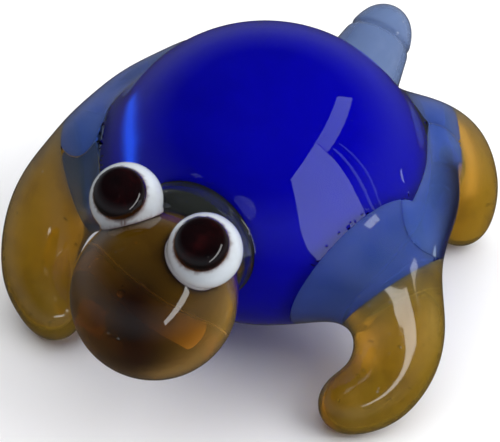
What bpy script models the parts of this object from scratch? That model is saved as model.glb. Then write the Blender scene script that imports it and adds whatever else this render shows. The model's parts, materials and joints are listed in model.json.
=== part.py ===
"""A lampworked glass turtle, each gather of glass its own solid.

The turtle looks towards -Y, its left is +X and it stands on its four feet at z = 0.
"""

import math

import bmesh
import bpy
from mathutils import Matrix, Vector

# Driving dimensions, in metres. Places are given from the middle of the shell.
MM = 0.001
FUSE_GAP = 0.3 * MM  # left between one gather and the next
STANDING_HEIGHT = 14.0 * MM  # from the ground to the middle of the shell

SHELL_RADIUS = 14.4 * MM
SHELL_HALF_HEIGHT = 13.2 * MM
CASING_WALL = 0.9 * MM
CASING_OPENING = 3.0 * MM  # radius of the bare patch under the belly

HEAD_CENTRE = Vector((0.4, -21.2, 2.2)) * MM
HEAD_RADIUS = 7.0 * MM
HEAD_TURN = math.radians(-17.5)  # the head looks a little to the turtle's right
NECK_CENTRE = Vector((-0.2, -14.5, 2.2)) * MM
NECK_RADII = Vector((5.7, 4.2, 5.6)) * MM

EYE_RADIUS = 3.06 * MM
EYE_SPACING = 9.2 * MM
EYE_BACK = 1.5 * MM
EYE_HEIGHT = 6.8 * MM
PUPIL_RADII = Vector((2.2, 2.2, 1.1)) * MM
PUPIL_RISE = 2.3 * MM  # from the middle of the eye to the middle of its dot
PUPIL_FACING = {"left": Vector((0.17, -0.57, 0.80)), "right": Vector((0.11, -0.63, 0.77))}

TAIL_ROOT = Vector((-0.2, 11.8, -5.6)) * MM
TAIL_END = Vector((0.7, 24.6, 0.6)) * MM
TAIL_RADII = (5.6 * MM, 2.9 * MM)
TAIL_TIP_RADIUS = 2.85 * MM
TAIL_TIP_LENGTH = 2.6 * MM

# Each flank is a trail laid round the side of the shell: its sweep in degrees from +X, and in
# millimetres its reach from the shell's axis, its height above the shell's middle and its radius.
FLANKS = {
    "left": {"sweep": (-14.0, 46.0), "reach": 14.9, "height": -1.2, "radius": 2.7},
    "right": {"sweep": (-160.0, -222.0), "reach": 15.4, "height": 0.5, "radius": 3.2},
}

# Each limb runs from inside the shell to its foot as (x, y, z, radius) in millimetres, and
# seam is the span of that route at which the clear lobe ends and the amber leg begins.
LIMBS = {
    "front_left": {
        "seam": 1.55,
        "route": (
            (8.0, -4.2, -2.6, 5.4),
            (12.2, -4.2, -3.0, 5.2),
            (15.6, -5.6, -5.4, 4.2),
            (16.9, -7.6, -8.4, 3.8),
            (16.4, -10.6, -10.7, 3.3),
            (14.3, -13.0, -11.5, 2.8),
        ),
    },
    "front_right": {
        "seam": 1.75,
        "route": (
            (-8.4, -3.4, -1.4, 5.4),
            (-13.0, -4.2, -1.8, 5.1),
            (-16.6, -5.8, -3.2, 4.4),
            (-18.0, -8.6, -6.2, 3.9),
            (-17.2, -12.0, -9.6, 3.3),
            (-14.0, -14.4, -11.5, 2.8),
        ),
    },
    "rear_left": {
        "seam": 1.7,
        "route": (
            (5.0, 7.6, -1.6, 5.2),
            (8.0, 11.4, -2.2, 5.0),
            (11.4, 13.8, -3.4, 4.3),
            (13.3, 14.2, -6.4, 3.7),
            (13.6, 14.5, -9.4, 3.3),
            (13.6, 14.6, -11.5, 2.8),
        ),
    },
    "rear_right": {
        "seam": 1.7,
        "route": (
            (-5.6, 7.4, -1.4, 5.2),
            (-9.6, 10.6, -2.0, 5.0),
            (-12.8, 13.0, -3.4, 4.3),
            (-14.4, 13.9, -6.4, 3.7),
            (-14.4, 14.3, -9.4, 3.3),
            (-13.8, 14.5, -11.5, 2.8),
        ),
    },
}

# How finely round shapes are cut.
BALL_STEPS = (32, 20)
SMALL_BALL_STEPS = (24, 14)
LIMB_SIDES = 20
STEPS_PER_SPAN = 3
CAP_STEPS = 4
FLANK_POINTS = 5
SHARP_ANGLE = math.radians(40)

# Linear base colour, roughness and transmission of each glass.
GLASS = {
    "cobalt_glass": ((0.004, 0.006, 0.28), 0.04, 0.6),
    "clear_glass": ((0.86, 0.90, 0.95), 0.03, 0.9),
    "pale_blue_glass": ((0.16, 0.27, 0.52), 0.04, 0.8),
    "amber_glass": ((0.42, 0.24, 0.05), 0.04, 0.8),
    "smoke_green_glass": ((0.05, 0.07, 0.06), 0.05, 0.7),
    "white_glass": ((0.80, 0.80, 0.82), 0.08, 0.0),
    "maroon_glass": ((0.05, 0.006, 0.004), 0.04, 0.4),
}


def clear_scene():
    for old in list(bpy.data.objects):
        bpy.data.objects.remove(old, do_unlink=True)


def glass(name):
    """The material of one kind of glass, made once."""
    made = bpy.data.materials.get(name)
    if made is None:
        colour, roughness, transmission = GLASS[name]
        made = bpy.data.materials.new(name)
        made.use_nodes = True
        shader = made.node_tree.nodes["Principled BSDF"]
        shader.inputs["Base Color"].default_value = (*colour, 1.0)
        shader.inputs["Metallic"].default_value = 0.0
        shader.inputs["Roughness"].default_value = roughness
        shader.inputs["Transmission Weight"].default_value = transmission
    return made


def add_object(name, shape, material_name, parent):
    """A shaded object from a bmesh, hung from the turtle's empty."""
    bmesh.ops.recalc_face_normals(shape, faces=shape.faces)
    mesh = bpy.data.meshes.new(name)
    shape.to_mesh(mesh)
    shape.free()
    mesh.shade_smooth()
    mesh.set_sharp_from_angle(angle=SHARP_ANGLE)
    made = bpy.data.objects.new(name, mesh)
    bpy.context.scene.collection.objects.link(made)
    made.parent = parent
    if material_name:
        made.data.materials.append(glass(material_name))
    return made


def add_cutter(name, shape, parent):
    """A hidden shape that a Boolean takes away."""
    made = add_object(name, shape, None, parent)
    made.hide_render = True
    made.display_type = "WIRE"
    return made


def carve(piece, *cutters):
    for cutter in cutters:
        cut = piece.modifiers.new(f"clear_of_{cutter.name}", "BOOLEAN")
        cut.operation = "DIFFERENCE"
        cut.solver = "EXACT"
        cut.object = cutter


def ball(centre, radii, steps=BALL_STEPS, facing=None):
    """A ball or ellipsoid whose own Z points along facing."""
    shape = bmesh.new()
    bmesh.ops.create_uvsphere(shape, u_segments=steps[0], v_segments=steps[1], radius=1.0)
    turn = facing.to_track_quat("Z", "Y").to_matrix().to_4x4() if facing else Matrix()
    place = Matrix.Translation(centre) @ turn @ Matrix.Diagonal((*radii, 1.0))
    bmesh.ops.transform(shape, matrix=place, verts=shape.verts)
    return shape


def even_radii(radius):
    return Vector((radius, radius, radius))


def smooth_between(before, start, end, after, share):
    """A Catmull-Rom value between start and end."""
    return 0.5 * (
        2.0 * start
        + (end - before) * share
        + (2.0 * before - 5.0 * start + 4.0 * end - after) * share**2
        + (3.0 * start - before - 3.0 * end + after) * share**3
    )


def along_route(stations, place):
    """The middle and the radius of a limb at a place counted in spans of its route."""
    last = len(stations) - 1
    span = min(int(place), last - 1)
    around = [stations[min(max(span + step, 0), last)] for step in (-1, 0, 1, 2)]
    share = place - span
    middle = smooth_between(*(station[0] for station in around), share)
    return middle, smooth_between(*(station[1] for station in around), share)


def drawn_out(stations, grow=0.0):
    """A rounded gather of glass drawn along its stations, each a middle and a radius."""
    count = (len(stations) - 1) * STEPS_PER_SPAN
    line = [along_route(stations, step / STEPS_PER_SPAN) for step in range(count + 1)]
    middles = [middle for middle, _ in line]
    radii = [radius + grow for _, radius in line]
    headings = [
        (middles[min(i + 1, count)] - middles[max(i - 1, 0)]).normalized()
        for i in range(count + 1)
    ]
    angles = [math.pi / 2 * step / CAP_STEPS for step in range(1, CAP_STEPS)]
    rings = [
        (middles[0] - headings[0] * radii[0] * math.cos(a), radii[0] * math.sin(a), 0)
        for a in angles
    ]
    rings += [(middles[i], radii[i], i) for i in range(count + 1)]
    rings += [
        (middles[-1] + headings[-1] * radii[-1] * math.sin(a), radii[-1] * math.cos(a), count)
        for a in angles
    ]
    shape = bmesh.new()
    side = headings[0].orthogonal().normalized()
    loops = []
    for middle, radius, i in rings:
        side = (side - headings[i] * side.dot(headings[i])).normalized()
        across = headings[i].cross(side)
        loops.append(
            [
                shape.verts.new(middle + (side * math.cos(a) + across * math.sin(a)) * radius)
                for a in (math.tau * n / LIMB_SIDES for n in range(LIMB_SIDES))
            ]
        )
    for one, other in zip(loops, loops[1:]):
        for n in range(LIMB_SIDES):
            m = (n + 1) % LIMB_SIDES
            shape.faces.new((one[n], one[m], other[m], other[n]))
    ends = (
        (loops[0], middles[0] - headings[0] * radii[0]),
        (loops[-1], middles[-1] + headings[-1] * radii[-1]),
    )
    for loop, pole_place in ends:
        pole = shape.verts.new(pole_place)
        for n in range(LIMB_SIDES):
            shape.faces.new((loop[n], loop[(n + 1) % LIMB_SIDES], pole))
    return shape


def keep_behind(shape, point, normal):
    """Cuts a closed shape flat at a plane and keeps the side that the normal points away from."""
    everything = shape.verts[:] + shape.edges[:] + shape.faces[:]
    cut = bmesh.ops.bisect_plane(
        shape, geom=everything, plane_co=point, plane_no=normal, clear_outer=True
    )
    rim = [item for item in cut["geom_cut"] if isinstance(item, bmesh.types.BMEdge)]
    bmesh.ops.contextual_create(shape, geom=rim)
    return shape


def casing_shape():
    """A clear skin over the cobalt, turned round the vertical axis and open under the belly."""
    outer = (SHELL_RADIUS, SHELL_HALF_HEIGHT)
    inner = (SHELL_RADIUS - CASING_WALL, SHELL_HALF_HEIGHT - CASING_WALL)
    count = BALL_STEPS[1]
    profile = []
    for (radius, height), steps in ((outer, range(count + 1)), (inner, range(count, -1, -1))):
        low = math.pi - math.asin(CASING_OPENING / radius)
        for step in steps:
            angle = low * step / count
            profile.append(Vector((radius * math.sin(angle), 0.0, height * math.cos(angle))))
    shape = bmesh.new()
    points = [shape.verts.new(point) for point in profile]
    edges = [shape.edges.new(pair) for pair in zip(points, points[1:])]
    bmesh.ops.spin(
        shape,
        geom=points + edges,
        cent=(0.0, 0.0, 0.0),
        axis=(0.0, 0.0, 1.0),
        angle=math.tau,
        steps=BALL_STEPS[0],
        use_merge=True,
    )
    bmesh.ops.remove_doubles(shape, verts=shape.verts, dist=0.001 * MM)
    return shape


def add_shell(turtle):
    """The cobalt ball in its clear skin. Returns what other pieces are cut back with."""
    inside = CASING_WALL + FUSE_GAP
    core_radii = Vector(
        (SHELL_RADIUS - inside, SHELL_RADIUS - inside, SHELL_HALF_HEIGHT - inside)
    )
    add_object("shell_core", ball(Vector(), core_radii), "cobalt_glass", turtle)
    add_object("clear_casing", casing_shape(), "clear_glass", turtle)
    room = Vector((SHELL_RADIUS, SHELL_RADIUS, SHELL_HALF_HEIGHT)) + even_radii(FUSE_GAP)
    return add_cutter("room_for_shell", ball(Vector(), room), turtle)


def add_limbs(turtle, shell_room, tail_room):
    """Four clear lobes and the four amber legs on them. Returns the room each limb takes."""
    ground = Vector((0.0, 0.0, -STANDING_HEIGHT))
    rooms = {}
    for name, limb in LIMBS.items():
        stations = [(Vector(row[:3]) * MM, row[3] * MM) for row in limb["route"]]
        seam = along_route(stations, limb["seam"])[0]
        beyond = along_route(stations, limb["seam"] + 0.1)[0]
        heading = (beyond - seam).normalized()
        lobe = keep_behind(drawn_out(stations), seam - heading * FUSE_GAP / 2, heading)
        lobe = add_object(f"shoulder_{name}", lobe, "pale_blue_glass", turtle)
        carve(lobe, shell_room, tail_room)
        leg = keep_behind(drawn_out(stations), seam + heading * FUSE_GAP / 2, -heading)
        leg = keep_behind(leg, ground, Vector((0.0, 0.0, -1.0)))
        carve(add_object(f"leg_{name}", leg, "amber_glass", turtle), shell_room)
        rooms[name] = add_cutter(f"room_for_{name}", drawn_out(stations, FUSE_GAP), turtle)
    return rooms


def add_flanks(turtle, shell_room, limb_rooms):
    """A clear trail along each side of the shell, from the front lobe to the rear one."""
    for side, flank in FLANKS.items():
        start, end = flank["sweep"]
        stations = []
        for step in range(FLANK_POINTS):
            angle = math.radians(start + (end - start) * step / (FLANK_POINTS - 1))
            x, y = math.cos(angle) * flank["reach"], math.sin(angle) * flank["reach"]
            stations.append((Vector((x, y, flank["height"])) * MM, flank["radius"] * MM))
        trail = add_object(f"flank_{side}", drawn_out(stations), "pale_blue_glass", turtle)
        carve(trail, shell_room, limb_rooms[f"front_{side}"], limb_rooms[f"rear_{side}"])


def add_tail(turtle, shell_room):
    """The stem drawn out of the shell and the bit on its end. Returns the room the stem takes."""
    heading = (TAIL_END - TAIL_ROOT).normalized()
    stations = [(TAIL_ROOT, TAIL_RADII[0]), (TAIL_END, TAIL_RADII[1])]
    join = TAIL_END - heading * TAIL_TIP_LENGTH / 2
    stem = keep_behind(drawn_out(stations), join - heading * FUSE_GAP / 2, heading)
    carve(add_object("tail_stem", stem, "pale_blue_glass", turtle), shell_room)
    behind = join - heading * TAIL_TIP_RADIUS
    tip = drawn_out([(behind, TAIL_TIP_RADIUS), (TAIL_END, TAIL_TIP_RADIUS)])
    tip = keep_behind(tip, join + heading * FUSE_GAP / 2, -heading)
    add_object("tail_tip", tip, "pale_blue_glass", turtle)
    return add_cutter("room_for_tail", drawn_out(stations, FUSE_GAP), turtle)


def add_head(turtle, shell_room):
    """The head ball, the collar behind it and the two eyes on top of it."""
    head = add_object("head", ball(HEAD_CENTRE, even_radii(HEAD_RADIUS)), "amber_glass", turtle)
    carve(head, shell_room)
    room = even_radii(HEAD_RADIUS + FUSE_GAP)
    head_room = add_cutter("room_for_head", ball(HEAD_CENTRE, room), turtle)
    neck = add_object("neck", ball(NECK_CENTRE, NECK_RADII), "smoke_green_glass", turtle)
    carve(neck, shell_room, head_room)
    looks = Matrix.Rotation(HEAD_TURN, 3, "Z") @ Vector((0.0, -1.0, 0.0))
    sideways = Vector((-looks.y, looks.x, 0.0))
    for side, sign in (("left", 1.0), ("right", -1.0)):
        centre = HEAD_CENTRE + sideways * (sign * EYE_SPACING / 2) - looks * EYE_BACK
        centre = centre + Vector((0.0, 0.0, EYE_HEIGHT))
        facing = PUPIL_FACING[side].normalized()
        dot = centre + facing * PUPIL_RISE
        pupil_shape = ball(dot, PUPIL_RADII, SMALL_BALL_STEPS, facing)
        add_object(f"pupil_{side}", pupil_shape, "maroon_glass", turtle)
        room = PUPIL_RADII + even_radii(FUSE_GAP)
        pupil_room = ball(dot, room, SMALL_BALL_STEPS, facing)
        pupil_room = add_cutter(f"room_for_pupil_{side}", pupil_room, turtle)
        eye_shape = ball(centre, even_radii(EYE_RADIUS), SMALL_BALL_STEPS, facing)
        eye = add_object(f"eye_{side}", eye_shape, "white_glass", turtle)
        carve(eye, head_room, pupil_room)


def stand_on_origin(turtle):
    """Moves the turtle so that the middle of its box's bottom is the origin."""
    bpy.context.view_layer.update()
    depsgraph = bpy.context.evaluated_depsgraph_get()
    corners = []
    for piece in turtle.children:
        if not piece.hide_render:
            solid = piece.evaluated_get(depsgraph)
            corners += [piece.matrix_world @ Vector(corner) for corner in solid.bound_box]
    for axis in (0, 1):
        low = min(corner[axis] for corner in corners)
        high = max(corner[axis] for corner in corners)
        turtle.location[axis] -= (low + high) / 2


def build_turtle():
    clear_scene()
    turtle = bpy.data.objects.new("turtle_frame", None)
    bpy.context.scene.collection.objects.link(turtle)
    turtle.location.z = STANDING_HEIGHT
    shell_room = add_shell(turtle)
    tail_room = add_tail(turtle, shell_room)
    limb_rooms = add_limbs(turtle, shell_room, tail_room)
    add_flanks(turtle, shell_room, limb_rooms)
    add_head(turtle, shell_room)
    stand_on_origin(turtle)


build_turtle()
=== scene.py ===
import json
import math

import bmesh
import bpy
import numpy as np
from mathutils import Matrix, Vector, kdtree


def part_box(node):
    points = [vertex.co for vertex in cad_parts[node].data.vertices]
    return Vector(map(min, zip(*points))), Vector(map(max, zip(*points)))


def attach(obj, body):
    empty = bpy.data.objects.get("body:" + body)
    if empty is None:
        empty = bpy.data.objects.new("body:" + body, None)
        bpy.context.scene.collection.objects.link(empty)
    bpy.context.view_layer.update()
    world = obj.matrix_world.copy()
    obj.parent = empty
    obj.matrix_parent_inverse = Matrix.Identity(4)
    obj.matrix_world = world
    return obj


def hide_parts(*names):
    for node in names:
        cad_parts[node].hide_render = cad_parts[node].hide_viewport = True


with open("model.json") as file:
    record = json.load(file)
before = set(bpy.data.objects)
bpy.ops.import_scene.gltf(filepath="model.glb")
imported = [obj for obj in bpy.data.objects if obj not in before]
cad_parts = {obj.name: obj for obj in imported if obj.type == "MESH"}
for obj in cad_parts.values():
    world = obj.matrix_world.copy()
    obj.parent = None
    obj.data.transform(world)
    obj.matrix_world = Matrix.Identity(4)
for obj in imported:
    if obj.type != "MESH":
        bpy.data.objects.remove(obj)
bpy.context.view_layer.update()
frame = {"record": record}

mm = 0.001


def nodeBox(node):
    low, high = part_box(node)
    return Vector(low), Vector(high)


def nodeMiddle(node):
    low, high = nodeBox(node)
    return (low + high) / 2


shellMiddle = nodeMiddle("shell_core")
print("frame loaded, shell middle", [round(value / mm, 2) for value in shellMiddle])

# camera, floor and light
studio = {
    "azimuth": 27.0, "elevation": 40.0, "distance": 194.4, "frameWidth": 45.0,
    "aimRight": -1.35, "aimUp": -4.41,
    "floorSize": 1600.0, "floorTone": (0.93, 0.93, 0.94), "roomLight": 1.0, "overhead": 1.7,
    "ceilingTone": (0.02, 0.022, 0.03), "wallTone": (0.17, 0.18, 0.20), "underTone": (0.05, 0.045, 0.04),
    "fades": ((0.12, 0.55, "ceilingTone"), (-0.05, -0.45, "underTone")),     # from and to, as heights
    "overheadPlace": (-40, 80, 450), "overheadFacing": (-0.08, 0.16, 1), "overheadSize": (900, 900),
}
window = {
    "facing": 12.0, "distance": 150.0, "tone": (0.88, 1.0, 0.98),
    "glow": 3.2, "glowDistance": 320, "glowHeight": 190, "glowTilt": 0.6, "glowSize": (420, 360),
    "shellPanes": {                  # from and to in degrees, low and high in distances, brightness
        "paneLeft": (-41, 1, -0.42, 1.42, 2.0),
        "paneTop": (2, 61, 1.0, 1.42, 1.6),
        "paneLow": (2, 44, -0.45, -0.12, 2.0),
        "foldOne": (7, 9, 0.0, 0.95, 0.8),
        "foldTwo": (15, 16.5, 0.1, 0.9, 0.6),
    },
    "edges": {                       # both ends across and up, width, brightness
        "paneEdge": ((-290, 22), (-40, 112), 34.0, 3.4),
        "legPane": ((-500, 156), (-100, 46), 30.0, 3.6),
        "legPaneSmall": ((-52, 52), (-12, 52), 26.0, 2.6),
    },
}


def viewAxes(azimuth, elevation):
    turn, tilt = math.radians(azimuth), math.radians(elevation)
    right = Vector((math.cos(turn), math.sin(turn), 0.0))
    back = Vector((math.sin(turn) * math.cos(tilt), -math.cos(turn) * math.cos(tilt), math.sin(tilt)))
    return right, back.cross(right), back


def addCamera():
    right, up, back = viewAxes(studio["azimuth"], studio["elevation"])
    aim = shellMiddle + (right * studio["aimRight"] + up * studio["aimUp"]) * mm
    lens = bpy.data.cameras.new("camera")
    lens.sensor_width = 36.0
    lens.lens = 36.0 * studio["distance"] / studio["frameWidth"]
    lens.clip_start = 0.005
    camera = bpy.data.objects.new("camera", lens)
    camera.location = aim + back * studio["distance"] * mm
    camera.rotation_euler = back.to_track_quat("Z", "Y").to_euler()
    bpy.context.scene.collection.objects.link(camera)
    bpy.context.scene.camera = camera


def newMaterial(name):
    material = bpy.data.materials.new(name)
    material.use_nodes = True
    material.node_tree.nodes.clear()
    return material, material.node_tree


def addFloor():
    mesh = bpy.data.meshes.new("studioFloor")
    half = studio["floorSize"] / 2 * mm
    corners = [(-half, -half, 0), (half, -half, 0), (half, half, 0), (-half, half, 0)]
    mesh.from_pydata(corners, [], [(0, 1, 2, 3)])
    floor = bpy.data.objects.new("studioFloor", mesh)
    bpy.context.scene.collection.objects.link(floor)
    material, tree = newMaterial("floorPaper")
    shader = tree.nodes.new("ShaderNodeBsdfPrincipled")
    shader.inputs["Base Color"].default_value = (*studio["floorTone"], 1)
    shader.inputs["Roughness"].default_value = 0.9
    output = tree.nodes.new("ShaderNodeOutputMaterial")
    tree.links.new(shader.outputs[0], output.inputs["Surface"])
    mesh.materials.append(material)
    return floor


def addLight(name, place, facing, size, brightness, tone=(1, 1, 1)):
    light = bpy.data.lights.new(name, "AREA")
    light.shape = "RECTANGLE"
    light.size, light.size_y = size[0] * mm, size[1] * mm
    light.energy = brightness * math.pi * light.size * light.size_y
    light.color = tone
    panel = bpy.data.objects.new(name, light)
    panel.location = shellMiddle + place * mm
    panel.rotation_euler = facing.to_track_quat("Z", "Y").to_euler()
    bpy.context.scene.collection.objects.link(panel)
    return panel


def shineOn(panel, names):
    receivers = bpy.data.collections.new(f"{panel.name}Shows")
    for name in names:
        receivers.objects.link(bpy.data.objects[name])
    panel.light_linking.receiver_collection = receivers


def addWindow(shellNames, headNames, legNames, jointNames):
    # the shell mirrors the whole window, the small parts only one bright edge of it
    turn, away = math.radians(window["facing"]), window["distance"]
    facing = Vector((math.cos(turn), math.sin(turn), 0))
    along = Vector((-math.sin(turn), math.cos(turn), 0))
    for name, (start, end, low, high, brightness) in window["shellPanes"].items():
        left, right = (math.tan(math.radians(angle) - turn) * away for angle in (start, end))
        low, high = low * away, high * away
        place = facing * away + along * (left + right) / 2 + Vector((0, 0, (low + high) / 2))
        panel = addLight(name, place, facing, (right - left, high - low), brightness, window["tone"])
        shineOn(panel, shellNames)
    shownIn = {"paneEdge": headNames, "legPane": legNames, "legPaneSmall": legNames + jointNames}
    for name, (start, end, width, brightness) in window["edges"].items():
        start, end = (facing * away + along * across + Vector((0, 0, up)) for across, up in (start, end))
        panel = addLight(name, (start + end) / 2, facing, ((end - start).length, width), brightness)
        side = (end - start).normalized()
        panel.rotation_euler = Matrix((side, facing.cross(side), facing)).transposed().to_euler()
        shineOn(panel, shownIn[name])
    place = facing * window["glowDistance"] + Vector((0, 0, window["glowHeight"]))
    glowFacing = facing + Vector((0, 0, window["glowTilt"]))
    glow = addLight("windowGlow", place, glowFacing, window["glowSize"], window["glow"])
    glow.visible_glossy = False


def addRoomLight():
    # pale walls round the table and a dark ceiling, so the glass mirrors light only near its edges
    room = bpy.data.worlds.new("room")
    room.use_nodes = True
    tree = room.node_tree
    background = tree.nodes["Background"]
    background.inputs["Strength"].default_value = studio["roomLight"]
    split = tree.nodes.new("ShaderNodeSeparateXYZ")
    tree.links.new(tree.nodes.new("ShaderNodeTexCoord").outputs["Generated"], split.inputs[0])
    tone = studio["wallTone"]
    for start, end, other in studio["fades"]:
        tone = mixColour(tree, rangeNode(tree, split.outputs[2], start, end), tone, studio[other])
    tree.links.new(tone, background.inputs["Color"])
    bpy.context.scene.world = room
    place, facing = Vector(studio["overheadPlace"]), Vector(studio["overheadFacing"])
    overhead = addLight("overhead", place, facing, studio["overheadSize"], studio["overhead"])
    overhead.visible_glossy = False


addCamera()
addFloor().visible_glossy = False
print("camera and floor ready")

# the shapes of the hot glass: every function gives distances in millimetres, less than zero inside,
# and every place is measured from the shell's middle
far = 6.0              # nothing further away than this matters
softness = 0.3         # how far the balls of one strand melt together
stationsPerSpan = 8    # steps between two points of a limb's route


def oval(points, middle, radii, axes=None):
    apart = points - middle
    if axes is not None:
        apart = apart @ axes
    scaled = apart / radii
    length = np.maximum(np.sqrt((scaled * scaled).sum(1)), 1e-6)
    steep = np.sqrt(((scaled / radii) ** 2).sum(1))
    return length * (length - 1) / np.maximum(steep, 1e-6)


def strand(points, beads):
    # a row of overlapping balls, melted so evenly that no ball shows
    reach = beads[:, 3].max() + far
    near = (points > beads[:, :3].min(0) - reach).all(1) & (points < beads[:, :3].max(0) + reach).all(1)
    close = points[near]
    squares = (close**2).sum(1)[:, None] + (beads[:, :3] ** 2).sum(1) - 2 * close @ beads[:, :3].T
    lengths = np.sqrt(np.maximum(squares, 0)) - beads[:, 3]
    nearest = lengths.min(1)
    weights = np.exp((nearest[:, None] - lengths) / softness) @ beads[:, 4]
    distances = np.full(len(points), far)
    distances[near] = np.minimum(nearest - softness * np.log(weights), far)
    return distances


def beadsAlong(stations):
    # close balls count for less, so the strand keeps its radius
    stations = np.array(stations, dtype=float)
    gaps = np.linalg.norm(np.diff(stations[:, :3], axis=0), axis=1)
    spacing = (np.append(gaps, 0) + np.insert(gaps, 0, 0)) / 2
    weights = spacing / np.sqrt(2 * math.pi * softness * stations[:, 3])
    return np.column_stack([stations, weights])


def melt(one, other, reach):
    share = np.maximum(reach - np.abs(one - other), 0) / reach
    return np.minimum(one, other) - share**3 * reach / 6


def smoothRoute(route, steps=stationsPerSpan):
    # a smooth curve through the route's points, radius and all
    stations = []
    last = len(route) - 1
    for span in range(last):
        before, start, end, after = (
            np.array(route[min(max(span + step, 0), last)], dtype=float) for step in (-1, 0, 1, 2)
        )
        for step in range(steps):
            t = step / steps
            stations.append(
                0.5 * (2 * start + (end - before) * t + (2 * before - 5 * start + 4 * end - after) * t**2
                       + (3 * start - before - 3 * end + after) * t**3)
            )
    stations.append(np.array(route[-1], dtype=float))
    return stations


shell = {"radii": (14.4, 14.4, 13.2), "skin": 0.9}

limbs = {                # route: x, y, z and radius; seam: where blue glass meets amber, in spans
    "front_left": {
        "seam": 1.45,
        "route": ((8.0, -4.2, -2.6, 5.4), (12.2, -4.2, -3.0, 5.2), (15.6, -5.6, -5.4, 4.2),
                  (16.9, -7.6, -8.4, 3.8), (16.4, -10.6, -10.7, 3.3), (14.3, -13.0, -11.5, 2.8)),
    },
    "front_right": {
        "seam": 1.45,
        "route": ((-8.4, -3.4, -1.4, 5.4), (-13.0, -4.2, -1.8, 5.1), (-16.6, -5.8, -3.2, 4.4),
                  (-18.0, -8.6, -6.2, 3.9), (-17.2, -12.0, -9.6, 3.3), (-14.0, -14.4, -11.5, 2.8)),
    },
    "rear_left": {
        "seam": 1.7,
        "route": ((5.0, 7.6, -1.6, 5.2), (8.0, 11.4, -2.2, 5.0), (11.4, 13.8, -3.4, 4.3),
                  (13.3, 14.2, -6.4, 3.7), (13.6, 14.5, -9.4, 3.3), (13.6, 14.6, -11.5, 2.8)),
    },
    "rear_right": {
        "seam": 1.7,
        "route": ((-5.6, 7.4, -1.4, 5.2), (-9.6, 10.6, -2.0, 5.0), (-12.8, 13.0, -3.4, 4.3),
                  (-14.4, 13.9, -6.4, 3.7), (-14.4, 14.3, -9.4, 3.3), (-13.8, 14.5, -11.5, 2.8)),
    },
}
for limb in limbs.values():
    limb["stations"] = smoothRoute(limb["route"])
    place = limb["seam"] * stationsPerSpan
    before, after = limb["stations"][int(place)], limb["stations"][int(place) + 1]
    seamAt = before + (after - before) * (place - int(place))
    heading = (after - before)[:3]
    limb["seamAt"], limb["heading"] = seamAt[:3], heading / np.linalg.norm(heading)
    limb["beads"] = beadsAlong(limb["stations"])

flanks = {
    "left": {"sweep": (-14.0, 46.0), "reach": 14.9, "height": -1.2, "radius": 2.7},
    "right": {"sweep": (-160.0, -222.0), "reach": 15.4, "height": 0.5, "radius": 3.2},
}
for flank in flanks.values():
    start, end = (math.radians(angle) for angle in flank["sweep"])
    reach, height, radius = flank["reach"], flank["height"], flank["radius"]
    flank["beads"] = beadsAlong([
        (math.cos(angle) * reach, math.sin(angle) * reach, height, radius)
        for angle in np.linspace(start, end, 29)
    ])

tail = {
    "root": (-0.2, 11.8, -5.6, 5.6), "end": (0.7, 24.6, 0.6, 2.9), "tipLength": 2.6,
    "ringDepth": 0.22, "ringWidth": 0.3, "clearOfShell": 15.0,
}
tailHeading = np.array(tail["end"][:3]) - np.array(tail["root"][:3])
tailHeading = tailHeading / np.linalg.norm(tailHeading)
tailJoin = np.array(tail["end"][:3]) - tailHeading * tail["tipLength"] / 2
tail["beads"] = beadsAlong(np.linspace(tail["root"], tail["end"], 40))

neck = {"middle": (-0.2, -14.5, 2.2), "radii": (5.7, 4.2, 5.6)}
head = {"middle": (0.4, -21.2, 2.2), "radius": 7.0}
eyes = {"radius": 3.06, "dotRadii": (2.2, 2.2, 1.1), "dotRise": 2.3,
        "facing": {"left": (0.17, -0.57, 0.80), "right": (0.11, -0.63, 0.77)}}
for side in ("left", "right"):
    facing = Vector(eyes["facing"][side]).normalized()
    dot = (nodeMiddle(f"pupil_{side}") - shellMiddle) / mm
    eyes[side] = {
        "dot": np.array(dot), "ball": np.array(dot - facing * eyes["dotRise"]),
        "axes": np.array(facing.to_track_quat("Z", "Y").to_matrix()),
    }


def forms(points):
    found = {"shell": oval(points, (0, 0, 0), shell["radii"])}
    found["core"] = oval(points, (0, 0, 0), [radius - shell["skin"] for radius in shell["radii"]])
    for name, limb in limbs.items():
        found[f"limb_{name}"] = strand(points, limb["beads"])
    for name, flank in flanks.items():
        found[f"flank_{name}"] = strand(points, flank["beads"])
    found["tail"] = strand(points, tail["beads"])
    found["neck"] = oval(points, neck["middle"], neck["radii"])
    found["head"] = np.linalg.norm(points - head["middle"], axis=1) - head["radius"]
    for side in ("left", "right"):
        eye = eyes[side]
        found[f"eye_{side}"] = np.linalg.norm(points - eye["ball"], axis=1) - eyes["radius"]
        found[f"pupil_{side}"] = oval(points, eye["dot"], eyes["dotRadii"], eye["axes"])
    return found


# how far each fillet reaches where a gather is melted on, and how low the flat soles lie
fillets = {"flank": 4.0, "limb": 5.0, "tail": 4.5, "neck": 1.2, "head": 0.8, "eye": 0.7, "pupil": 0.25}
soleHeight = -14.0


def fused(points, found):
    # the outer skin of the whole turtle
    glass = found["shell"]
    for name in flanks:
        glass = melt(glass, found[f"flank_{name}"], fillets["flank"])
    for name in limbs:
        glass = melt(glass, found[f"limb_{name}"], fillets["limb"])
    glass = melt(glass, found["tail"], fillets["tail"])
    pastJoin = (points - tailJoin) @ tailHeading
    behindShell = points[:, 1] > tail["clearOfShell"]
    ring = tail["ringDepth"] * np.exp(-(pastJoin / tail["ringWidth"]) ** 2)
    glass = glass + np.where(behindShell, ring, 0.0)
    glass = melt(glass, found["neck"], fillets["neck"])
    glass = melt(glass, found["head"], fillets["head"])
    for side in ("left", "right"):
        glass = melt(glass, found[f"eye_{side}"], fillets["eye"])
        glass = melt(glass, found[f"pupil_{side}"], fillets["pupil"])
    return np.maximum(glass, soleHeight - points[:, 2])


seams = {"gap": 0.008, "legBall": 12.0, "footBall": 6.2}
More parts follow.
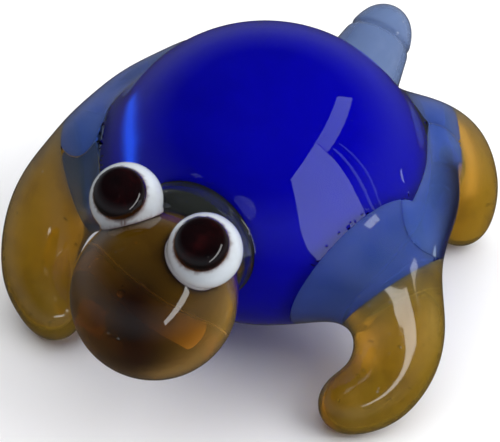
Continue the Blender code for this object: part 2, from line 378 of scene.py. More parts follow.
# how far a gather keeps the casing away from its own edge, and how deep it cuts into the casing
lap = {"limb": 1.2, "frontLeft": 2.0, "neck": 0.4, "head": 0.06, "eye": 0.3, "depth": 0.35, "skin": 1.2}
# how far past its own form a gather claims the fillet round it
claim = {"head": 0.06, "pupil": 0.03, "eye": 0.5, "neck": 0.7}


def cells(points, found):
    # which gather each spot of glass belongs to, in the order in which they claim it
    attached = [
        found[name] - lap["frontLeft" if name == "limb_front_left" else "limb"]
        for name in found if name.startswith(("limb", "flank", "tail"))
    ]
    attached += [found["neck"] - lap["neck"], found["head"] - lap["head"]]
    attached += [found["eye_left"] - lap["eye"], found["eye_right"] - lap["eye"]]
    openSkin = np.maximum(found["shell"] - lap["skin"], -np.min(attached, axis=0))
    wants = {
        "shell_core": found["core"],
        "clear_casing": np.minimum(found["shell"] + lap["depth"], openSkin),
        "head": found["head"] - claim["head"],
    }
    for part in ("pupil", "eye"):
        for side in ("left", "right"):
            wants[f"{part}_{side}"] = found[f"{part}_{side}"] - claim[part]
    for name, limb in limbs.items():
        middle = limb["seamAt"] + limb["heading"] * seams["legBall"]
        foot = limb["stations"][-1 - stationsPerSpan // 2][:3]
        wants[f"leg_{name}"] = np.minimum(
            np.linalg.norm(points - middle, axis=1) - seams["legBall"],
            np.linalg.norm(points - foot, axis=1) - seams["footBall"],
        )
    pastJoin = (points - tailJoin) @ tailHeading
    wants["tail_tip"] = np.maximum(-pastJoin, tail["clearOfShell"] - points[:, 1])
    wants["neck"] = found["neck"] - claim["neck"]
    taken = np.full(len(points), -far)
    regions = {}
    for name, want in wants.items():
        regions[name] = np.maximum(want, taken) + seams["gap"] / 2
        taken = np.maximum(taken, seams["gap"] / 2 - want)
    rest = {f"shoulder_{name}": found[f"limb_{name}"] for name in limbs}
    rest.update({f"flank_{name}": found[f"flank_{name}"] for name in flanks})
    rest["tail_stem"] = found["tail"]
    for name, own in rest.items():
        others = np.min([other for key, other in rest.items() if key != name], axis=0)
        regions[name] = np.maximum((own - others) / 2, taken) + seams["gap"] / 2
    return regions


def measure(points, piece):
    found = forms(points)
    return fused(points, found), cells(points, found)[piece]


def slope(points, piece, step=0.01):
    slopes = [np.zeros_like(points), np.zeros_like(points)]
    for axis in range(3):
        nudge = np.zeros(3)
        nudge[axis] = step
        ahead, behind = measure(points + nudge, piece), measure(points - nudge, piece)
        for which in (0, 1):
            slopes[which][:, axis] = (ahead[which] - behind[which]) / (2 * step)
    return slopes


def gridValues(piece, low, counts, step):
    # whole blocks far from the glass keep one value, and only the rest is measured point by point
    block = usual["block"]
    centres = np.stack(np.meshgrid(*[np.arange(n // block) for n in counts], indexing="ij"), -1)
    centres = (centres.reshape(-1, 3) * block + (block - 1) / 2) * step + low
    coarse = np.maximum(*measure(centres, piece)).reshape([n // block for n in counts])
    for axis in range(3):
        coarse = coarse.repeat(block, axis)
    skin, cell = coarse.copy(), coarse.copy()
    near = np.abs(coarse) < (block * 0.87 + 1.0) * step
    skin[near], cell[near] = measure(np.argwhere(near) * step + low, piece)
    return skin, cell


def surfaceNet(skin, cell, low, step):
    # one corner in every grid cell that the surface crosses, and one face round every crossed edge
    values = np.maximum(skin, cell)
    outerWins = skin - cell
    inside = values < 0
    cellShape = np.array(values.shape) - 1
    total = np.zeros((*cellShape, 3))
    count = np.zeros(cellShape)

    def cornerPart(array, corner):
        return array[tuple(slice(c, c + n) for c, n in zip(corner, cellShape))]

    for corner in np.ndindex(2, 2, 2):
        for axis in range(3):
            if corner[axis]:
                continue
            other = tuple(1 if k == axis else corner[k] for k in range(3))
            one, two = cornerPart(values, corner), cornerPart(values, other)
            crossed = cornerPart(inside, corner) != cornerPart(inside, other)
            share = np.where(crossed, one / np.where(crossed, one - two, 1.0), 0.0)
            for k in range(3):
                total[..., k] += np.where(crossed, corner[k] + (share if k == axis else 0.0), 0.0)
            count += crossed
    used = count > 0
    numbers = np.full(cellShape, -1)
    numbers[used] = np.arange(used.sum())
    points = (np.argwhere(used) + total[used] / count[used][:, None]) * step + low
    quads, outer = [], []
    for axis in range(3):
        a, b = [k for k in range(3) if k != axis]
        ahead = tuple(slice(1, None) if k == axis else slice(1, -1) for k in range(3))
        behind = tuple(slice(0, -1) if k == axis else slice(1, -1) for k in range(3))
        crossed = inside[behind] != inside[ahead]
        share = values[behind] / np.where(crossed, values[behind] - values[ahead], 1.0)
        isOuter = outerWins[behind] + share * (outerWins[ahead] - outerWins[behind]) > 0
        leaving, entering = inside[behind] & ~inside[ahead], ~inside[behind] & inside[ahead]
        for crossing, flip in ((leaving, axis == 1), (entering, axis != 1)):
            at = np.argwhere(crossing)
            outer.append(isOuter[crossing])
            at[:, a] += 1
            at[:, b] += 1
            ring = []
            for da, db in ((-1, -1), (0, -1), (0, 0), (-1, 0)):
                place = at.copy()
                place[:, a] += da
                place[:, b] += db
                ring.append(numbers[tuple(place.T)])
            ring = np.stack(ring, 1)
            quads.append(ring[:, ::-1] if flip else ring)
    return points, np.concatenate(quads), np.concatenate(outer)


def stepTo(value, grade):
    return (value / np.maximum((grade**2).sum(1), 0.2))[:, None] * grade


def settle(points, quads, outer, piece, step):
    # corners between two outer faces go to the skin, those between two joint faces to the joint,
    # and those on a rim to both
    touchesOuter = np.zeros(len(points), bool)
    touchesJoint = np.zeros(len(points), bool)
    touchesOuter[quads[outer]] = True
    touchesJoint[quads[~outer]] = True
    rim = (touchesOuter & touchesJoint)[:, None]
    start = points.copy()
    for turn in range(5):
        skin, cell = measure(points, piece)
        skinSlope, cellSlope = slope(points, piece)
        a, b = (skinSlope**2).sum(1), (cellSlope**2).sum(1)
        ab = (skinSlope * cellSlope).sum(1)
        spread = np.maximum(a * b - ab * ab, 0.03)
        toBoth = ((b * skin - ab * cell) / spread)[:, None] * skinSlope
        toBoth += ((a * cell - ab * skin) / spread)[:, None] * cellSlope
        single = np.where(touchesOuter[:, None], stepTo(skin, skinSlope), stepTo(cell, cellSlope))
        move = np.where(rim & (turn < 3), toBoth, single)
        points = points - np.clip(move, -step, step)
        points = start + np.clip(points - start, -step, step)
    return points


meshStep = {"shell_core": 0.5, "clear_casing": 0.28, "head": 0.27, "tail_stem": 0.3}
gridMargin = {"shoulder": 5.0, "flank": 5.0}
usual = {"step": 0.25, "margin": 2.2, "block": 4}


def castPiece(node):
    step = meshStep.get(node, usual["step"])
    margin = gridMargin.get(node.split("_")[0], usual["margin"])
    low, high = (np.array((corner - shellMiddle) / mm) for corner in nodeBox(node))
    low, high = low - margin, high + margin
    counts = np.ceil((high - low) / step / usual["block"]).astype(int) * usual["block"]
    points, quads, outer = surfaceNet(*gridValues(node, low, counts, step), low, step)
    points = settle(points, quads, outer, node, step)
    return points, quads, outer


# where a piece has painted light and painted shade: glow lines paint light focused inside the glass, deep
# lines paint shade seen through it; x, y, z and reach along a soft line
paintedLightAndShade = {
    # painted light: the bright blue streak that the dome focuses on its left side
    "shell_core": {"glow": [
        (-10.6, -4.2, 6.7, 0.7), (-9.8, -5.6, 6.5, 0.9), (-8.5, -8.3, 5.8, 1.0), (-7.4, -10.1, 4.4, 0.7),
    ]},
    "head": {
        # painted light: the head's bright crescent of window light seen through the ball
        "glow": [
            (7.3, -20.6, 4.0, 1.3), (7.3, -21.8, 2.6, 1.9), (7.0, -23.3, 0.9, 2.1),
            (5.8, -25.2, -0.4, 1.9), (4.0, -26.9, -1.2, 1.4),
        ],
        # painted shade: the head's dark front, where the ball shows the dark body behind it
        "deep": [(1.6, -26.6, 6.4, 3.2), (2.0, -27.4, 4.6, 3.6), (2.4, -27.6, 1.4, 3.2)],
    },
    # painted light: streaks of light focused inside the amber legs
    "leg_front_left": {"glow": [
        (13.0, -9.4, -3.8, 0.9), (14.3, -9.8, -5.3, 1.4), (15.4, -10.9, -6.8, 1.1),
    ]},
    "leg_rear_left": {"glow": [
        (13.4, 13.0, 1.2, 0.9), (14.6, 12.2, 0.0, 1.1), (15.4, 11.6, -2.0, 1.0), (15.8, 11.2, -4.6, 0.8),
    ]},
    "leg_front_right": {"glow": [(-12.8, -9.8, -4.0, 1.0), (-13.2, -12.0, -6.5, 1.6)]},
    # painted shade: the dark navy shade below the window's reflection, here and on the rear left shoulder
    "flank_left": {"deep": [
        (15.4, 7.2, 0.4, 1.9), (16.9, 4.2, -0.2, 2.4), (17.8, 1.2, -0.8, 2.2), (18.4, -2.0, -1.4, 1.5),
    ]},
    "shoulder_rear_left": {"deep": [(14.4, 8.6, 0.4, 1.9), (15.4, 7.2, 0.4, 1.9)]},
}


# the strength of painted light and painted shade along one line
def paintedLightAndShadeAt(points, line):
    line = np.array(line)
    beads = np.concatenate([np.linspace(one, other, 9) for one, other in zip(line, line[1:])])
    apart = np.linalg.norm(points[:, None] - beads[None, :, :3], axis=2)
    return np.exp(-((apart / beads[:, 3]) ** 2)).max(1)


def nearJoints(points, quads, outer):
    onJoint = np.unique(quads[~outer])
    tree = kdtree.KDTree(len(onJoint))
    for index, point in enumerate(points[onJoint].tolist()):
        tree.insert(point, index)
    tree.balance()
    return np.array([tree.find(point)[2] for point in points.tolist()])


def setAttribute(mesh, name, domain, values):
    attribute = mesh.attributes.new(name, "FLOAT", domain)
    attribute.data.foreach_set("value", np.asarray(values, dtype=np.float32))


def meshFrom(name, node, points, quads, outer, fade):
    mesh = bpy.data.meshes.new(name)
    places = points * mm + np.array(shellMiddle)
    mesh.from_pydata(places.tolist(), [], quads.tolist())
    mesh.shade_smooth()
    skinSlope, cellSlope = slope(points, node)
    corners = quads.ravel()
    facing = np.where(np.repeat(outer, 4)[:, None], skinSlope[corners], cellSlope[corners])
    facing /= np.maximum(np.linalg.norm(facing, axis=1), 1e-6)[:, None]
    mesh.normals_split_custom_set(facing.tolist())
    joint, near = np.zeros(len(quads)), np.zeros(len(points))
    if node != "shell_core":         # the core shows its own skin through the casing
        joint, near = ~outer, np.exp(-nearJoints(points, quads, outer) / fade)
    setAttribute(mesh, "seam", "FACE", joint)
    setAttribute(mesh, "near", "POINT", near)
    # painted light and painted shade along the lines of the table, one value per corner
    for tone in ("glow", "deep"):
        line = paintedLightAndShade.get(node, {}).get(tone)
        setAttribute(mesh, tone, "POINT", paintedLightAndShadeAt(points, line) if line else np.zeros(len(points)))
    made = bpy.data.objects.new(name, mesh)
    bpy.context.scene.collection.objects.link(made)
    return made


# the effects that several glasses share
def newGroup(name, inputs, outputs):
    group = bpy.data.node_groups.new(name, "ShaderNodeTree")
    for label, kind, value in inputs:
        socket = group.interface.new_socket(label, in_out="INPUT", socket_type=f"NodeSocket{kind}")
        socket.default_value = value
    for label, kind in outputs:
        group.interface.new_socket(label, in_out="OUTPUT", socket_type=f"NodeSocket{kind}")
    return group, group.nodes.new("NodeGroupInput"), group.nodes.new("NodeGroupOutput")


def addNode(tree, kind, values=None, **settings):
    node = tree.nodes.new(kind)
    for key, value in settings.items():
        setattr(node, key, value)
    for key, value in (values or {}).items():
        node.inputs[key].default_value = value
    return node


def rangeNode(tree, source, low, high, toLow=0.0, toHigh=1.0):
    node = addNode(tree, "ShaderNodeMapRange", {1: low, 2: high, 3: toLow, 4: toHigh})
    tree.links.new(source, node.inputs[0])
    return node.outputs[0]


def mathNode(tree, operation, one, two):
    node = addNode(tree, "ShaderNodeMath", operation=operation)
    for socket, source in zip(node.inputs, (one, two)):
        if isinstance(source, (int, float)):
            socket.default_value = source
        else:
            tree.links.new(source, socket)
    return node.outputs[0]


def mixColour(tree, share, one, two):
    node = addNode(tree, "ShaderNodeMix", data_type="RGBA")
    for socket, source in zip((node.inputs[0], node.inputs[6], node.inputs[7]), (share, one, two)):
        if isinstance(source, (int, float)):
            socket.default_value = source
        elif isinstance(source, tuple):
            socket.default_value = (*source, 1)
        else:
            tree.links.new(source, socket)
    return node.outputs[2]


def objectNoise(tree, scale, detail=3.0, stretch=None):
    place = tree.nodes.new("ShaderNodeTexCoord").outputs["Object"]
    if stretch is not None:
        mapping = tree.nodes.new("ShaderNodeMapping")
        tree.links.new(place, mapping.inputs["Vector"])
        if isinstance(stretch, tuple):
            mapping.inputs["Scale"].default_value = stretch
        else:
            tree.links.new(stretch, mapping.inputs["Scale"])
        place = mapping.outputs[0]
    noise = addNode(tree, "ShaderNodeTexNoise", {"Detail": detail, "Roughness": 0.55})
    tree.links.new(place, noise.inputs["Vector"])
    if isinstance(scale, (int, float)):
        noise.inputs["Scale"].default_value = scale
    else:
        tree.links.new(scale, noise.inputs["Scale"])
    return noise.outputs[0]


def pulledStreaks():
    # soft bands left in the glass where the gather was pulled
    inputs = (
        ("Main", "Color", (0.5, 0.5, 0.5, 1)), ("Light", "Color", (0.7, 0.7, 0.7, 1)),
        ("Dark", "Color", (0.3, 0.3, 0.3, 1)),
        ("Scale", "Float", 300.0), ("Stretch", "Vector", (1, 1, 1)),
    )
    group, start, end = newGroup("pulledStreaks", inputs, (("Colour", "Color"),))
    bands = objectNoise(group, start.outputs["Scale"], 4.0, start.outputs["Stretch"])
    lightShare = rangeNode(group, bands, 0.52, 0.72)
    darkShare = rangeNode(group, bands, 0.46, 0.28)
    lighter = mixColour(group, lightShare, start.outputs["Main"], start.outputs["Light"])
    both = mixColour(group, darkShare, lighter, start.outputs["Dark"])
    group.links.new(both, end.inputs["Colour"])
    return group


def fireSkin():
    # the skin of flame-worked glass: slow waves, finger marks, hair scratches
    inputs = [(label, "Float", value) for label, value in
              (("Polish", 0.02), ("Marks", 0.05), ("Scratches", 0.2), ("Waves", 0.5))]
    group, start, end = newGroup("fireSkin", inputs, (("Roughness", "Float"), ("Height", "Float")))
    marks = rangeNode(group, objectNoise(group, 260.0, 5.0), 0.5, 0.75)
    lines = rangeNode(group, objectNoise(group, 260.0, 2.0, (1.0, 26.0, 5.0)), 0.70, 0.76)
    crossLines = rangeNode(group, objectNoise(group, 240.0, 2.0, (22.0, 1.5, 6.0)), 0.71, 0.76)
    scratches = mathNode(group, "MAXIMUM", lines, crossLines)
    scratches = mathNode(group, "MULTIPLY", scratches, start.outputs["Scratches"])
    smudged = mathNode(group, "MULTIPLY", marks, start.outputs["Marks"])
    rough = mathNode(group, "ADD", mathNode(group, "ADD", smudged, start.outputs["Polish"]), scratches)
    waves = mathNode(group, "MULTIPLY", objectNoise(group, 170.0, 1.0), start.outputs["Waves"])
    group.links.new(rough, end.inputs["Roughness"])
    group.links.new(mathNode(group, "SUBTRACT", waves, scratches), end.inputs["Height"])
    return group


def lintSpecks():
    # dust and lint that has settled on the glass
    inputs = (("Amount", "Float", 0.5),)
    group, start, end = newGroup("lintSpecks", inputs, (("Mask", "Float"),))
    place = group.nodes.new("ShaderNodeTexCoord").outputs["Object"]
    cellsNode = addNode(group, "ShaderNodeTexVoronoi", {"Scale": 900.0, "Randomness": 1.0})
    group.links.new(place, cellsNode.inputs["Vector"])
    dots = rangeNode(group, cellsNode.outputs["Distance"], 0.14, 0.06)
    patches = rangeNode(group, objectNoise(group, 420.0, 2.0), 0.54, 0.66)
    mask = mathNode(group, "MULTIPLY", dots, patches)
    mask = mathNode(group, "MULTIPLY", mask, start.outputs["Amount"])
    group.links.new(mask, end.inputs["Mask"])
    return group


groups = {"pulledStreaks": pulledStreaks(), "fireSkin": fireSkin(), "lintSpecks": lintSpecks()}

# clear is how much light goes through, the rest is the milkiness of the glass itself
# glow is the colour of painted light focused in the glass, deep the colour of painted shade seen through
# it
glassKinds = {
    "cobalt_glass": {
        "main": (0.003, 0.001, 0.62), "light": (0.005, 0.004, 0.74), "dark": (0.002, 0.001, 0.50),
        "glow": (0.012, 0.10, 1.0), "deep": (0.001, 0.001, 0.3),
        "joint": (0.002, 0.001, 0.2), "jointTintAndShadeShare": 0.0,
        # the last value on the next line is the strength of the painted glow
        "scale": 60.0, "stretch": (1.0, 1.0, 2.5), "paintedGlowStrength": 0.6,
        "clear": 0.3, "polish": 0.22, "waves": 0.0, "scratches": 0.0, "ior": 1.0, "coat": 0.0,
        "absorbs": (0.02, 0.01, 0.93), "depth": 0.45, "lint": 0.0, "fade": 1.0,
    },
    "clear_glass": {
        "main": (1.0, 1.0, 1.0), "light": (1.0, 1.0, 1.0), "dark": (0.93, 0.95, 0.97),
        "glow": (1.0, 1.0, 1.0), "deep": (0.5, 0.5, 0.6), "joint": (0.5, 0.55, 0.62), "jointTintAndShadeShare": 0.25,
        "scale": 120.0, "stretch": (1.0, 1.0, 1.0),
        "clear": 1.0, "polish": 0.0, "waves": 0.35, "scratches": 0.10, "ior": 1.5, "coat": 0.0,
        "absorbs": (0.3, 0.42, 0.70), "depth": 0.12, "lint": 0.5, "fade": 0.4,
    },
    "pale_blue_glass": {
        "main": (0.085, 0.17, 0.58), "light": (0.14, 0.24, 0.68), "dark": (0.05, 0.12, 0.46),
        "glow": (0.2, 0.3, 0.5), "deep": (0.002, 0.006, 0.045), "paintedShadeCoat": 0.2,
        "joint": (0.04, 0.07, 0.18), "jointTintAndShadeShare": 0.35,
        "scale": 150.0, "stretch": (1.0, 1.0, 2.0),
        "clear": 0.70, "polish": 0.10, "waves": 0.6, "scratches": 0.05, "ior": 1.45, "coat": 1.0,
        "absorbs": (0.06, 0.33, 0.74), "depth": 0.20, "lint": 0.6, "fade": 0.25,
    },
    "amber_glass": {
        "main": (0.50, 0.31, 0.022), "light": (0.68, 0.44, 0.06), "dark": (0.27, 0.155, 0.012),
        "glow": (0.85, 0.48, 0.07), "deep": (0.05, 0.02, 0.004),
        "joint": (0.17, 0.19, 0.16), "jointTintAndShadeShare": 0.8,
        "scale": 190.0, "stretch": (1.0, 1.0, 0.5),
        "clear": 0.74, "polish": 0.10, "waves": 0.6, "scratches": 0.05, "ior": 1.45, "coat": 1.0,
        "absorbs": (0.68, 0.51, 0.03), "depth": 0.28, "lint": 0.7, "fade": 0.5,
    },
    "smoke_green_glass": {
        "main": (0.036, 0.042, 0.036), "light": (0.07, 0.08, 0.07), "dark": (0.018, 0.020, 0.018),
        "glow": (0.1, 0.1, 0.1), "deep": (0.01, 0.01, 0.01),
        "joint": (0.004, 0.003, 0.003), "jointTintAndShadeShare": 0.9,
        "scale": 200.0, "stretch": (1.0, 2.0, 1.0),
        "clear": 0.7, "polish": 0.10, "waves": 0.5, "scratches": 0.05, "ior": 1.45, "coat": 1.0,
        "absorbs": (0.30, 0.34, 0.30), "depth": 0.5, "lint": 0.5, "fade": 0.3,
    },
    "maroon_glass": {
        "main": (0.008, 0.001, 0.001), "light": (0.030, 0.003, 0.003), "dark": (0.003, 0.001, 0.001),
        "glow": (0.05, 0.01, 0.01), "deep": (0.002, 0.001, 0.001),
        "joint": (0.11, 0.045, 0.045), "jointTintAndShadeShare": 0.7,
        "scale": 500.0, "stretch": (1.0, 1.0, 1.0),
        "clear": 0.5, "polish": 0.05, "waves": 0.2, "scratches": 0.04, "ior": 1.5, "coat": 0.6,
        "absorbs": (0.15, 0.02, 0.015), "depth": 4.0, "lint": 0.2, "fade": 0.10,
    },
    "white_glass": {
        "main": (0.49, 0.53, 0.57), "light": (0.55, 0.59, 0.63), "dark": (0.41, 0.43, 0.45),
        "glow": (0.8, 0.8, 0.8), "deep": (0.3, 0.3, 0.3), "joint": (0.10, 0.05, 0.04), "jointTintAndShadeShare": 0.85,
        "scale": 260.0, "stretch": (1.0, 1.0, 1.0),
        "clear": 0.0, "polish": 0.10, "waves": 0.3, "scratches": 0.04, "ior": 1.5, "coat": 0.6,
        "lint": 0.15, "fade": 0.16,
    },
}
headGlass = dict(
    glassKinds["amber_glass"],
    main=(0.44, 0.21, 0.012), dark=(0.25, 0.105, 0.006), light=(0.58, 0.31, 0.035),
    glow=(0.80, 0.47, 0.12), deep=(0.045, 0.014, 0.003), joint=(0.03, 0.012, 0.006), jointTintAndShadeShare=0.9,
    clear=0.86, polish=0.02, absorbs=(0.68, 0.42, 0.03), depth=0.15, fade=0.22,
)
tailGlass = dict(
    glassKinds["pale_blue_glass"],
    main=(0.19, 0.27, 0.47), light=(0.25, 0.33, 0.53), dark=(0.14, 0.20, 0.39),
    clear=0.5, absorbs=(0.15, 0.38, 0.70), depth=0.2,
)
# painted shade: a darker, greyer copy of the pale blue for the shoulder on the shaded side
shadedPaleBlueGlass = dict(
    glassKinds["pale_blue_glass"],
    main=(0.07, 0.11, 0.22), light=(0.11, 0.16, 0.28), dark=(0.04, 0.08, 0.17),
    absorbs=(0.18, 0.33, 0.52),
)
otherRodAndShadedGlass = {             # the head and tail come from another rod than the rest of their kind; the front right shoulder takes a darker, greyer copy of the pale blue as painted shade on the turtle's shaded side
    "head": ("headAmber", headGlass), "shoulder_front_right": ("shadedPaleBlue", shadedPaleBlueGlass),
    "tail_stem": ("tailBlue", tailGlass), "tail_tip": ("tailBlue", tailGlass),
}
surface = {
    "marks": 0.04, "lintTone": (0.75, 0.73, 0.70), "coatPolish": 0.02, "coatIor": 1.5,
    # the first value on the next line is the strength of the painted glow
    "paintedGlowStrength": 0.08, "waveStrength": 0.35, "waveHeight": 0.12,
}
castGlass = {}


def glassMaterial(name, kind):
    if name in castGlass:
        return castGlass[name]
    material, tree = newMaterial(name)
    links = tree.links

    def place(group, values):
        node = tree.nodes.new("ShaderNodeGroup")
        node.node_tree = groups[group]
        for key, value in values.items():
            node.inputs[key].default_value = value
        return node

    streaks = place("pulledStreaks", {
        "Main": (*kind["main"], 1), "Light": (*kind["light"], 1), "Dark": (*kind["dark"], 1),
        "Scale": kind["scale"], "Stretch": kind["stretch"],
    })
    skin = place("fireSkin", {
        "Polish": kind["polish"], "Marks": surface["marks"],
        "Scratches": kind["scratches"], "Waves": kind["waves"],
    })
    near = addNode(tree, "ShaderNodeAttribute", attribute_name="near")
    # near its joints each glass turns toward its joint colour: painted contact shade where one gather
    # meets another, and in the amber a real blend toward the blue
    share = mathNode(tree, "MULTIPLY", near.outputs["Fac"], kind["jointTintAndShadeShare"])
    colour = mixColour(tree, share, streaks.outputs["Colour"], kind["joint"])
    # painted shade and painted light: the deep and glow lines turn the colour dark and bright
    for tone in ("deep", "glow"):
        line = addNode(tree, "ShaderNodeAttribute", attribute_name=tone)
        colour = mixColour(tree, line.outputs["Fac"], colour, kind[tone])
    if kind["lint"]:
        lint = place("lintSpecks", {"Amount": kind["lint"]})
        colour = mixColour(tree, lint.outputs["Mask"], colour, surface["lintTone"])
    shader = addNode(tree, "ShaderNodeBsdfPrincipled", {
        "IOR": kind["ior"], "Transmission Weight": kind["clear"], "Coat Weight": kind["coat"],
        "Coat Roughness": surface["coatPolish"], "Coat IOR": surface["coatIor"],
        "Emission Strength": kind.get("paintedGlowStrength", surface["paintedGlowStrength"]),
    })
    links.new(colour, shader.inputs["Base Color"])
    # painted light: the glow lines emit, standing in for light focused inside the glass
    glow = addNode(tree, "ShaderNodeAttribute", attribute_name="glow")
    paintedGlowColour = mixColour(tree, glow.outputs["Fac"], (0, 0, 0), kind["glow"])
    links.new(paintedGlowColour, shader.inputs["Emission Color"])
    links.new(skin.outputs["Roughness"], shader.inputs["Roughness"])
    # less coat where the painted shade lies, so the shaded patch stays dull
    if "paintedShadeCoat" in kind:
        deep = addNode(tree, "ShaderNodeAttribute", attribute_name="deep")
        coat = rangeNode(tree, deep.outputs["Fac"], 0.0, 1.0, kind["coat"], kind["paintedShadeCoat"])
        links.new(coat, shader.inputs["Coat Weight"])
    if kind["waves"]:
        bump = addNode(tree, "ShaderNodeBump", {
            "Strength": surface["waveStrength"], "Distance": surface["waveHeight"] * mm,
        })
        links.new(skin.outputs["Height"], bump.inputs["Height"])
        links.new(bump.outputs["Normal"], shader.inputs["Normal"])
    output = tree.nodes.new("ShaderNodeOutputMaterial")
    if kind["clear"]:
        # a joint face lets light straight through, as fused glass does
        fusedFace = addNode(tree, "ShaderNodeAttribute", attribute_name="seam")
        through = tree.nodes.new("ShaderNodeBsdfTransparent")
        mix = tree.nodes.new("ShaderNodeMixShader")
        links.new(fusedFace.outputs["Fac"], mix.inputs[0])
        links.new(shader.outputs[0], mix.inputs[1])
        links.new(through.outputs[0], mix.inputs[2])
        links.new(mix.outputs[0], output.inputs["Surface"])
        body = addNode(tree, "ShaderNodeVolumeAbsorption", {
            "Color": (*kind["absorbs"], 1), "Density": kind["depth"] / mm,
        })
        links.new(body.outputs[0], output.inputs["Volume"])
    else:
        links.new(shader.outputs[0], output.inputs["Surface"])
    castGlass[name] = material
    return material


slots = {entry["node"]: entry["material_slot"] for entry in frame["record"]["subparts"]}
pieces = {}
for node, slot in slots.items():
    finish, kind = otherRodAndShadedGlass.get(node, (slot, glassKinds[slot]))
    piece = meshFrom(f"{node}_glass", node, *castPiece(node), kind["fade"])
    piece.data.materials.append(glassMaterial(finish, kind))
    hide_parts(node)
    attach(piece, "root")
    pieces[node] = piece
    print("cast", piece.name, len(piece.data.polygons), "faces")

# seed bubbles caught under the skin of the legs, tail and head
bubbles = {
    "perSquareMetre": 42000.0, "smallest": 0.07, "largest": 0.20, "shallow": 0.9, "deep": 2.0,
    "seed": 7, "sizeSeed": 3, "ballFaces": 80,
    "hosts": (
        "leg_front_left", "leg_front_right", "leg_rear_left", "leg_rear_right", "head", "tail_stem",
    ),
}


def bubbleTree(material):
    tree = bpy.data.node_groups.new("seedBubbles", "GeometryNodeTree")
    sockets = {}
    tree.interface.new_socket("Glass", in_out="INPUT", socket_type="NodeSocketGeometry")
    for label, kind in (
        ("Density", "Float"), ("Smallest", "Float"), ("Largest", "Float"),
        ("Shallow", "Float"), ("Deep", "Float"), ("Seed", "Int"),
    ):
        socket = tree.interface.new_socket(label, in_out="INPUT", socket_type=f"NodeSocket{kind}")
        sockets[label] = socket.identifier
    tree.interface.new_socket("Bubbles", in_out="OUTPUT", socket_type="NodeSocketGeometry")
    start, end = tree.nodes.new("NodeGroupInput"), tree.nodes.new("NodeGroupOutput")
    link = tree.links.new
    scatter = tree.nodes.new("GeometryNodeDistributePointsOnFaces")
    link(start.outputs["Glass"], scatter.inputs["Mesh"])
    link(start.outputs["Density"], scatter.inputs["Density"])
    link(start.outputs["Seed"], scatter.inputs["Seed"])
    depth = tree.nodes.new("FunctionNodeRandomValue")
    link(start.outputs["Shallow"], depth.inputs[2])
    link(start.outputs["Deep"], depth.inputs[3])
    link(start.outputs["Seed"], depth.inputs["Seed"])
    sink = addNode(tree, "ShaderNodeVectorMath", operation="SCALE")
    link(scatter.outputs["Normal"], sink.inputs[0])
    link(mathNode(tree, "MULTIPLY", depth.outputs[1], -1.0), sink.inputs["Scale"])
    move = tree.nodes.new("GeometryNodeSetPosition")
    link(scatter.outputs["Points"], move.inputs["Geometry"])
    link(sink.outputs[0], move.inputs["Offset"])
    ball = addNode(tree, "GeometryNodeMeshIcoSphere", {"Radius": 1.0, "Subdivisions": 2})
    size = addNode(tree, "FunctionNodeRandomValue")
    link(start.outputs["Smallest"], size.inputs[2])
    link(start.outputs["Largest"], size.inputs[3])
    size.inputs["Seed"].default_value = bubbles["sizeSeed"]
    place = tree.nodes.new("GeometryNodeInstanceOnPoints")
    link(move.outputs[0], place.inputs["Points"])
    link(ball.outputs["Mesh"], place.inputs["Instance"])
    link(size.outputs[1], place.inputs["Scale"])
    real = tree.nodes.new("GeometryNodeRealizeInstances")
    link(place.outputs[0], real.inputs[0])
    smooth = tree.nodes.new("GeometryNodeSetShadeSmooth")
    link(real.outputs[0], smooth.inputs["Geometry"])
    finish = tree.nodes.new("GeometryNodeSetMaterial")
    finish.inputs["Material"].default_value = material
    link(smooth.outputs[0], finish.inputs["Geometry"])
    link(finish.outputs[0], end.inputs["Bubbles"])
    return tree, sockets


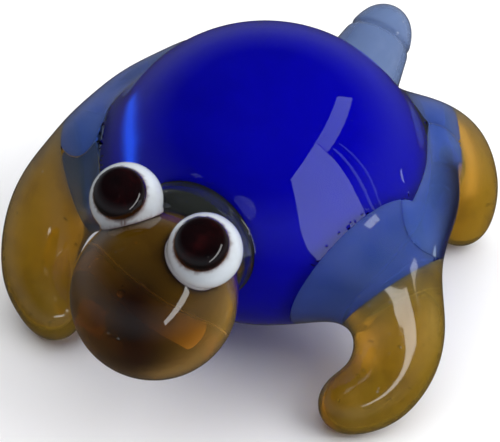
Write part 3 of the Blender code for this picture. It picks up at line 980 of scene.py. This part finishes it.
def bubbleMaterial():
    material, tree = newMaterial("bubbleSkin")
    skin = tree.nodes.new("ShaderNodeGroup")
    skin.node_tree = groups["fireSkin"]
    shader = addNode(tree, "ShaderNodeBsdfPrincipled", {"IOR": 0.69, "Transmission Weight": 1.0})
    tint = mixColour(tree, objectNoise(tree, 900.0), (1.0, 1.0, 1.0), (0.86, 0.89, 0.92))
    tree.links.new(tint, shader.inputs["Base Color"])
    tree.links.new(skin.outputs["Roughness"], shader.inputs["Roughness"])
    output = tree.nodes.new("ShaderNodeOutputMaterial")
    tree.links.new(shader.outputs[0], output.inputs["Surface"])
    return material


def addBubbles():
    # the outer faces of the host pieces, without their joints
    host = bmesh.new()
    for node in bubbles["hosts"]:
        host.from_mesh(pieces[node].data)
    seam = host.faces.layers.float["seam"]
    bmesh.ops.delete(host, geom=[face for face in host.faces if face[seam] > 0.5], context="FACES")
    skin = bpy.data.meshes.new("bubbleHost")
    host.to_mesh(skin)
    host.free()
    maker = bpy.data.objects.new("bubbleMaker", skin)
    bpy.context.scene.collection.objects.link(maker)
    tree, sockets = bubbleTree(bubbleMaterial())
    modifier = maker.modifiers.new("seedBubbles", "NODES")
    modifier.node_group = tree
    for label, value in (
        ("Density", bubbles["perSquareMetre"]), ("Smallest", bubbles["smallest"] * mm),
        ("Largest", bubbles["largest"] * mm), ("Shallow", bubbles["shallow"] * mm),
        ("Deep", bubbles["deep"] * mm), ("Seed", bubbles["seed"]),
    ):
        modifier[sockets[label]] = value
    graph = bpy.context.evaluated_depsgraph_get()
    mesh = bpy.data.meshes.new_from_object(maker.evaluated_get(graph), depsgraph=graph)
    mesh.name = "seedBubbles"
    bpy.data.objects.remove(maker)
    made = bpy.data.objects.new("seedBubbles", mesh)
    bpy.context.scene.collection.objects.link(made)
    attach(made, "root")
    print("seed bubbles", len(mesh.polygons) // bubbles["ballFaces"])


addBubbles()

namesOf = {"shell": [], "head": [], "leg": [], "joint": []}
groupOf = {"clear": "shell", "flank": "shell", "leg": "leg", "shoulder": "joint", "tail": "joint"}
for node, piece in pieces.items():
    namesOf[groupOf.get(node.split("_")[0], "head")].append(piece.name)
addWindow(*namesOf.values())
addRoomLight()
print("window and room light ready")

scene = bpy.context.scene
scene.view_settings.view_transform = "Standard"
scene.cycles.transparent_max_bounces = 32
scene.cycles.max_bounces = 24
scene.cycles.transmission_bounces = 24
scene.cycles.glossy_bounces = 8
